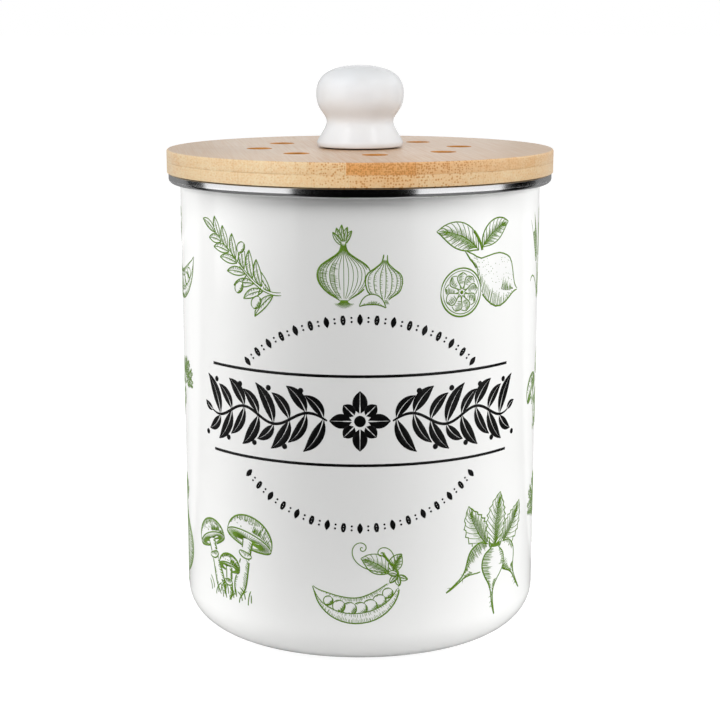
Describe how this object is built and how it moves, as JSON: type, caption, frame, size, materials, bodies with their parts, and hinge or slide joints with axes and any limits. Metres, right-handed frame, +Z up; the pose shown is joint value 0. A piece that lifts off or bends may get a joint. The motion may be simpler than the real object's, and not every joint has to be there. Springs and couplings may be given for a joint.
{
  "type": "compost caddy",
  "caption": "Round countertop caddy for food scraps: printed enamelled steel can with a stainless rim, vented bamboo lid with a ceramic knob, seal and charcoal filter.",
  "frame": {"origin": "centre of the base, on the surface the caddy stands on", "axes": "+Z up along the can's axis, -Y towards the printed front, +X to the right seen from the front"},
  "size_m": [0.17, 0.17, 0.2492],
  "materials": {
    "white_enamel": "gloss",
    "polished_stainless": "polished",
    "bamboo": "satin",
    "clear_silicone": "satin",
    "charcoal_felt": "matte",
    "white_glaze": "gloss",
    "dark_rubber": "matte",
    "brass": "satin",
    "plated_steel": "satin",
    "brushed_stainless": "satin",
    "green_print": "gloss",
    "black_print": "gloss"
  },
  "bodies": {
    "canister": {"enamelled_can": "white_enamel", "rim_band": "polished_stainless"},
    "lid": {"lid_upper_ply": "bamboo", "lid_lower_ply": "bamboo", "lid_plug_ring": "bamboo", "seal_ring": "clear_silicone", "filter_pad": "charcoal_felt", "knob": "white_glaze", "knob_washer": "dark_rubber", "knob_insert": "brass", "knob_bolt": "plated_steel", "bolt_washer": "plated_steel", "clip_screws": "plated_steel", "clip_washers": "plated_steel"},
    "turn_clip_1": {"clip_1": "brushed_stainless"},
    "turn_clip_2": {"clip_2": "brushed_stainless"},
    "turn_clip_3": {"clip_3": "brushed_stainless"}
  },
  "joints": [
    {"name": "lid_lift", "type": "slide", "parent": "canister", "child": "lid", "axis": [0, 0, 1], "range_m": [0, 0.12]},
    {"name": "clip_1_turn", "type": "hinge", "parent": "lid", "child": "turn_clip_1", "pos_m": [0, -0.068, 0.1924], "axis": [0, 0, 1], "range_deg": [-90, 90]},
    {"name": "clip_2_turn", "type": "hinge", "parent": "lid", "child": "turn_clip_2", "pos_m": [0.05889, 0.034, 0.1924], "axis": [0, 0, 1], "range_deg": [-90, 90]},
    {"name": "clip_3_turn", "type": "hinge", "parent": "lid", "child": "turn_clip_3", "pos_m": [-0.05889, 0.034, 0.1924], "axis": [0, 0, 1], "range_deg": [-90, 90]}
  ]
}
